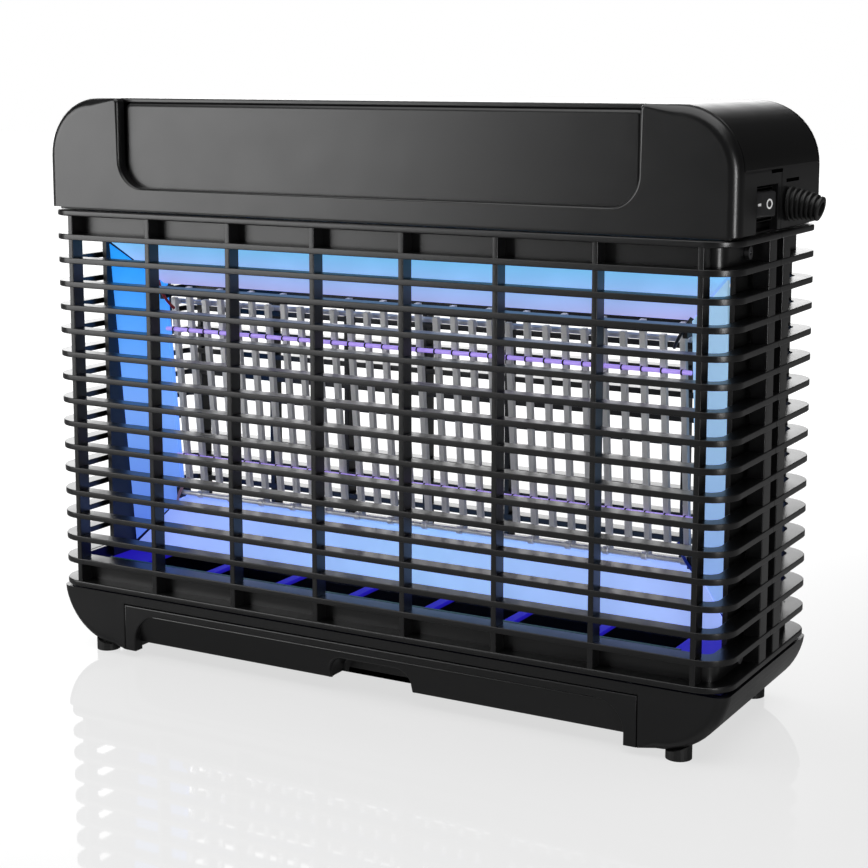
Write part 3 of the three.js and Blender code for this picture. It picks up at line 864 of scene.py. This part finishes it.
def scoop_arch(low):
    """The scoop's outline over the top, from its lower right end to its lower left end."""
    x, r = SCOOP_HALF, SCOOP_ROUND
    over = arc((x - r, SCOOP_TOP - r), r, 0, 90, 8)
    return [(x, low)] + over + [(-a, b) for a, b in reversed(over)] + [(-x, low)]


def notch_arch(low, inset=0.0):
    """The finger notch's outline, from its lower left end over the top to its lower right end."""
    left, right = NOTCH_MIDDLE - NOTCH_HALF + inset, NOTCH_MIDDLE + NOTCH_HALF - inset
    top, r = NOTCH_TOP - inset, NOTCH_ROUND
    points = [(left, low)]
    points += arc((left + r, top - r), r, 180, 90, 6)
    points += arc((right - r, top - r), r, 90, 0, 6)
    return points + [(right + 0.8 * MM, low)]


def make_tray():
    """The tray's face with its scooped middle and finger notch, and the bin behind it."""
    mesh = bmesh.new()
    bottom = LEG_BOTTOM
    frame_points = [(-TRAY_HALF, TRAY_TOP), (-TRAY_HALF, bottom)]
    frame_points += list(reversed(scoop_arch(bottom)))
    frame_points += [(TRAY_HALF, bottom), (TRAY_HALF, TRAY_TOP)]
    rear = BASE_LOW.y - 0.3 * MM
    add_plate(mesh, frame_points, [0.6 * MM] * len(frame_points), -HOUSING_FACE, rear)

    x = SCOOP_HALF + 0.5 * MM
    middle = [(-x, SCOOP_TOP), (-x, PAN_BOTTOM)]
    middle += notch_arch(PAN_BOTTOM) + [(x, PAN_BOTTOM), (x, SCOOP_TOP)]
    scoop = bmesh.new()
    add_plate(scoop, middle, [1.0 * MM] * len(middle), -HOUSING_FACE, -HOUSING_FACE + 1.8 * MM)
    for vertex in scoop.verts:
        vertex.co.y += scoop_depth(min(vertex.co.z, SCOOP_TOP))
    copy_into(mesh, scoop, Matrix.Identity(4))

    pocket_rear = BASE_LOW.y + 9.5 * MM
    floor = PAN_BOTTOM + 3 * MM
    rings = []
    for y, inset, low in (
        (-HOUSING_FACE + SCOOP_DEEP, -1.2 * MM, PAN_BOTTOM + 0.3 * MM),
        (-HOUSING_FACE + SCOOP_DEEP + 0.5 * MM, 0.4 * MM, PAN_BOTTOM + 0.3 * MM),
        (pocket_rear - 2 * MM, 1.6 * MM, floor), (pocket_rear, 3.6 * MM, floor),
    ):
        rings.append([Vector((px, y, pz)) for px, pz in notch_arch(low, inset)])
    pocket = [[mesh.verts.new(point) for point in ring] for ring in rings]
    for near, far in zip(pocket, pocket[1:]):
        for index in range(len(near) - 1):
            mesh.faces.new((near[index], near[index + 1], far[index + 1], far[index]))
    mesh.faces.new(pocket[-1])

    half, front, back = BIN_HALF, rear - 0.3 * MM, TRAY_HIGH.y
    low, wall, top = PAN_BOTTOM + 2.7 * MM, BIN_WALL, BIN_TOP
    left_end, right_end = -26 * MM, NOTCH_MIDDLE + 26 * MM
    for a, b in (
        ((-half, front + 12 * MM, low), (half, back, low + wall)),
        ((-half, front, low), (left_end, front + 13 * MM, low + wall)),
        ((right_end, front, low), (half, front + 13 * MM, low + wall)),
        ((-half, front, low), (-half + wall, back, top)),
        ((half - wall, front, low), (half, back, top)),
        ((-half, back - wall, low), (half, back, top)),
        ((-half, front, low), (left_end, front + wall, top)),
        ((right_end, front, low), (half, front + wall, top)),
    ):
        add_block(mesh, a, b, 0.4 * MM)
    placed = bmesh.new()
    copy_into(placed, mesh, TO_MIDDLE)
    finish_piece("tray_moulding", placed, "tray", BLACK, ["collection_tray"], 40)


make_tray()


# ---- Lamp module ----

WINDOW_HALF_U = 153 * MM
WINDOW_HALF_V = 61 * MM
RAIL_REACH = WINDOW_HALF_U - 3.2 * MM
TO_MODULE = Matrix.Translation(MODULE_CENTRE) @ Matrix.Rotation(TILT, 4, "X")
STRIP_COUNT = 30
STRIP_PITCH = 10.2 * MM
STRIP_HALF = 1.5 * MM
STRIP_FRONT = -STRIP_HALF
STRIP_X = [(index - (STRIP_COUNT - 1) / 2) * STRIP_PITCH for index in range(STRIP_COUNT)]


def module_piece(name, mesh, material, replaces=()):
    """A piece drawn in the lamp module's own frame."""
    placed = bmesh.new()
    copy_into(placed, mesh, TO_MODULE)
    finish_piece(name, placed, "housing", material, replaces, 40)


def make_comb(name, node, parity, low, high, rod_y, rod_z, rod_radius, clip_radius):
    """Every other bar of the grid, joined by the rod that carries it."""
    mesh = bmesh.new()
    for x in STRIP_X[parity::2]:
        left, right = x - STRIP_HALF, x + STRIP_HALF
        add_block(mesh, (left, STRIP_FRONT, low), (right, -STRIP_FRONT, high), 0.25 * MM)
        if clip_radius:
            add_rod(mesh, (left, rod_y, rod_z), (right, rod_y, rod_z), clip_radius, 16, 0.3 * MM)
        a, b = sorted((0, rod_y))
        add_block(mesh, (x - 1.2 * MM, a, rod_z - 1.2 * MM), (x + 1.2 * MM, b, rod_z + 1.2 * MM), 0.3 * MM)
    add_rod(mesh, (-RAIL_REACH, rod_y, rod_z), (RAIL_REACH, rod_y, rod_z), rod_radius, 14)
    module_piece(name, mesh, METAL, [node])


def make_sleeved_rod(name, node, z):
    """A violet sleeve in front of the bars, with a dark ring where it crosses each one."""
    mesh = bmesh.new()
    y = STRIP_FRONT - 1.4 * MM
    reach = WINDOW_HALF_U - 0.2 * MM
    add_rod(mesh, (-reach, y, z), (reach, y, z), 1.1 * MM, 16, 0.2 * MM)
    module_piece(name, mesh, SLEEVE, [node])
    rings = bmesh.new()
    for x in STRIP_X:
        add_rod(rings, (x - 0.45 * MM, y, z), (x + 0.45 * MM, y, z), 1.45 * MM, 14, 0.2 * MM)
    module_piece(name + "_clips", rings, INNER)


def make_top_rail():
    """The dark rail in front of the bars' upper ends."""
    mesh = bmesh.new()
    front = STRIP_FRONT - 0.3 * MM
    low = (-RAIL_REACH, front - 2.4 * MM, 54.6 * MM)
    add_block(mesh, low, (RAIL_REACH, front, 58 * MM), 0.5 * MM)
    module_piece("top_rail_moulding", mesh, INNER, ["grid_top_rail"])


def make_hooks():
    """The four insulated leads that hold the grid's corners, each bent over the window's edge."""
    colours = {
        "upper_left": (0.35, 0.015, 0.02), "upper_right": (0.01, 0.01, 0.01),
        "lower_left": (0.55, 0.30, 0.34), "lower_right": (0.02, 0.05, 0.5),
    }
    for corner, colour in colours.items():
        side = 1 if "right" in corner else -1
        level = 1 if "upper" in corner else -1
        material = coloured_wire(corner + "_lead_colour", colour)
        mesh = bmesh.new()
        points = []
        for step in range(13):
            share = step / 12
            bend = math.sin(share * math.pi)
            points.append(Vector((
                side * (WINDOW_HALF_U - 8 * MM + 9 * MM * share),
                STRIP_FRONT - 3.2 * MM - 2.5 * MM * bend,
                level * (WINDOW_HALF_V - 13 * MM + 15 * MM * share))))
        for near, far in zip(points, points[1:]):
            add_rod(mesh, near, far, 0.8 * MM, 10)
        module_piece(corner + "_lead", mesh, material)


make_comb("live_comb_bars", "grid_comb_live", 1, -58.5 * MM, WINDOW_HALF_V - 1.5 * MM,
          -4.6 * MM, -57 * MM, 1.3 * MM, 2.1 * MM)
make_comb("return_comb_bars", "grid_comb_return", 0, -54 * MM, 53 * MM, 5.2 * MM, 50 * MM, 1.4 * MM, 0)
make_sleeved_rod("upper_sleeve", "upper_spacer_rod", 36 * MM)
make_sleeved_rod("lower_sleeve", "lower_spacer_rod", -36 * MM)
make_top_rail()
make_hooks()


# ---- Materials on the CAD nodes that are shown as they are ----


def paint(material, *names):
    for name in names:
        for slot in NODES[name].material_slots:
            slot.material = material


def paint_nodes():
    paint(BLACK, "base_pan")
    paint(INNER, "switch_body", "head_chassis", "terminal_block", "left_end_plate", "right_end_plate")
    paint(STEEL, "step_up_transformer")
    paint(circuit_board(), "driver_board", "upper_led_board", "lower_led_board")
    paint(winding_tape(), "transformer_winding")
    paint(dipped_capacitor(), "storage_capacitor")
    for level in ("upper", "lower"):
        for side in ("left", "right"):
            paint(STEEL, f"{level}_{side}_screw")
            paint(INNER, f"{level}_{side}_insulator")
    for end in ("front", "rear"):
        for side in ("left", "right"):
            paint(RUBBER, f"{end}_{side}_foot")


def paint_lit_parts():
    """The reflectors and the grate get a painted glow where the lamps' light would wash over them."""
    low, high = MODULE_CENTRE.z - 90 * MM, MODULE_CENTRE.z + 90 * MM
    left = lit_reflector("left_reflector_glow", [
        (0.0, (0.10, 0.20, 0.72)),
        (0.45, (0.20, 0.42, 1.0)),
        (0.9, (0.02, 0.34, 1.0))], "Z", low, high, 0.75)
    right = lit_reflector("right_reflector_glow", [
        (0.0, (0.30, 0.48, 0.95)),
        (0.5, (0.38, 0.62, 0.92)),
        (1.0, (0.45, 0.72, 0.95))], "Z", low, high, 0.52)
    x0, x1 = MIDDLE_X - 176 * MM, MIDDLE_X + 176 * MM
    # Painted cyan light over the upper part of the top reflector.
    cyan_light_wash = ((0.16, 0.62, 1.0), MODULE_CENTRE.z + 60 * MM, high)
    top = lit_reflector("top_reflector_glow", [
        (0.0, (0.46, 0.44, 0.84)),
        (0.35, (0.42, 0.48, 0.90)),
        (0.7, (0.40, 0.50, 0.92)),
        (1.0, (0.48, 0.44, 0.84))], "X", x0, x1, 0.68, cyan_light_wash)
    bottom = lit_reflector("bottom_reflector_glow", [
        (0.0, (0.30, 0.42, 1.0)),
        (0.5, (0.34, 0.58, 1.0)),
        (1.0, (0.40, 0.52, 1.0))], "X", x0, x1, 0.65)
    for end in ("front", "rear"):
        paint(left, f"{end}_reflector_left")
        paint(right, f"{end}_reflector_right")
        paint(top, f"{end}_reflector_top")
        paint(bottom, f"{end}_reflector_bottom")
    paint(lit_grate(), "drop_grate")


paint_nodes()
paint_lit_parts()


# ---- Floor, light and camera ----


def floor_material():
    """A pale studio floor that is white to the camera far out and greyer close to the object, a painted
    shade, with a faint mirror image of what stands on it.
    """
    material, shader = new_material("pale_floor", (0.2, 0.2, 0.2), 0.5)
    shader.inputs["Specular IOR Level"].default_value = 0.0
    shader.inputs["Emission Color"].default_value = (1, 1, 1, 1)
    # Painted shade: the floor's emission to the camera is lower near the object and rises to beyond white
    # further out.
    distance = add_node(material, "ShaderNodeVectorMath", operation="LENGTH")
    link(material, object_place(material), distance.inputs[0])
    shade_by_distance = add_node(material, "ShaderNodeMapRange", interpolation_type="SMOOTHSTEP")
    shade_by_distance.inputs["From Min"].default_value = 0.25
    shade_by_distance.inputs["From Max"].default_value = 0.9
    shade_by_distance.inputs["To Min"].default_value = 0.75
    shade_by_distance.inputs["To Max"].default_value = 1.1
    link(material, distance.outputs["Value"], shade_by_distance.inputs["Value"])
    lift = add_node(material, "ShaderNodeMapRange")
    lift.inputs["To Min"].default_value = 0.1
    link(material, shade_by_distance.outputs["Result"], lift.inputs["To Max"])
    link(material, add_node(material, "ShaderNodeLightPath").outputs["Is Camera Ray"], lift.inputs["Value"])
    link(material, lift.outputs["Result"], shader.inputs["Emission Strength"])
    mirror = add_node(material, "ShaderNodeBsdfAnisotropic")
    mirror.inputs["Roughness"].default_value = 0.03
    both = add_node(material, "ShaderNodeMixShader")
    both.inputs["Fac"].default_value = 0.09
    link(material, shader.outputs["BSDF"], both.inputs[1])
    link(material, mirror.outputs["BSDF"], both.inputs[2])
    link(material, both.outputs["Shader"], material.node_tree.nodes["Material Output"].inputs["Surface"])
    return material


def make_floor():
    """The floor, wide enough to fill every view."""
    mesh = bmesh.new()
    half = 6.0
    corners = [(-half, -half), (half, -half), (half, half), (-half, half)]
    mesh.faces.new([mesh.verts.new((x, y, 0)) for x, y in corners])
    data = bpy.data.meshes.new("studio_floor")
    mesh.to_mesh(data)
    mesh.free()
    data.materials.append(floor_material())
    floor = bpy.data.objects.new("studio_floor", data)
    bpy.context.scene.collection.objects.link(floor)
    return floor


def add_softbox(name, place, target, size, power):
    """A rectangular lamp at a place, aimed at a target."""
    light = bpy.data.lights.new(name, "AREA")
    light.shape = "RECTANGLE"
    light.size, light.size_y = size
    light.energy = power
    lamp = bpy.data.objects.new(name, light)
    lamp.location = place
    lamp.rotation_euler = (Vector(target) - Vector(place)).to_track_quat("-Z", "Y").to_euler()
    bpy.context.scene.collection.objects.link(lamp)
    return lamp


def keep_off(lamp, name, *surfaces):
    """Leaves surfaces unlit by a lamp, so that they don't mirror it."""
    group = bpy.data.collections.new(name)
    for surface in surfaces:
        group.objects.link(surface)
    lamp.light_linking.receiver_collection = group
    for entry in group.collection_objects:
        entry.light_linking.link_state = "EXCLUDE"


def make_world():
    """White behind the object, and a studio that is bright behind on the left and dim elsewhere."""
    world = bpy.data.worlds.new("studio_world")
    bpy.context.scene.world = world
    world.use_nodes = True
    place = add_node(world, "ShaderNodeTexCoord").outputs["Generated"]
    towards = add_node(world, "ShaderNodeVectorMath", operation="DOT_PRODUCT")
    towards.inputs[1].default_value = Vector((-0.62, 0.78, -0.1)).normalized()
    link(world, place, towards.inputs[0])
    lobe = add_node(world, "ShaderNodeMapRange", interpolation_type="SMOOTHSTEP")
    lobe.inputs["From Min"].default_value = 0.8
    lobe.inputs["From Max"].default_value = 0.92
    lobe.inputs["To Min"].default_value = 0.03
    lobe.inputs["To Max"].default_value = 3.4
    link(world, towards.outputs["Value"], lobe.inputs["Value"])
    seen = add_node(world, "ShaderNodeLightPath").outputs["Is Camera Ray"]
    level = add_node(world, "ShaderNodeMix", data_type="FLOAT")
    level.inputs["B"].default_value = 1.0
    link(world, lobe.outputs["Result"], level.inputs["A"])
    link(world, seen, level.inputs["Factor"])
    sky = world.node_tree.nodes["Background"]
    sky.inputs["Color"].default_value = (1, 1, 1, 1)
    link(world, level.outputs["Result"], sky.inputs["Strength"])


def make_light(floor):
    """A wide lamp on the left, a narrow one on the right and a large one overhead."""
    make_world()
    bpy.context.scene.view_settings.view_transform = "Standard"
    left = add_softbox("left_softbox", (-1.05, -0.98, 0.35), (-0.05, 0, 0.15), (1.0, 0.9), 14)
    right = add_softbox("right_strip", (1.25, -0.75, 0.15), (0.15, 0, 0.15), (0.28, 0.6), 9)
    add_softbox("top_softbox", (0, -0.2, 1.8), (0, 0, 0), (2.4, 2.4), 40)
    keep_off(left, "unlit_by_left_softbox", floor)
    keep_off(right, "unlit_by_right_strip", floor, bpy.data.objects["head_lid_moulding"])


def make_camera():
    """From the right and a little above, shifted so that the upright edges converge a little less."""
    turn, drop = 29.37, 8.61
    data = bpy.data.cameras.new("main_camera")
    data.lens = 76.9
    data.sensor_width = 36
    data.shift_y = -0.10
    camera = bpy.data.objects.new("main_camera", data)
    camera.location = (0.4585, -0.8118, 0.3131)
    camera.rotation_euler = (math.radians(90 - drop), 0, math.radians(turn))
    bpy.context.scene.collection.objects.link(camera)
    bpy.context.scene.camera = camera


make_light(make_floor())
make_camera()
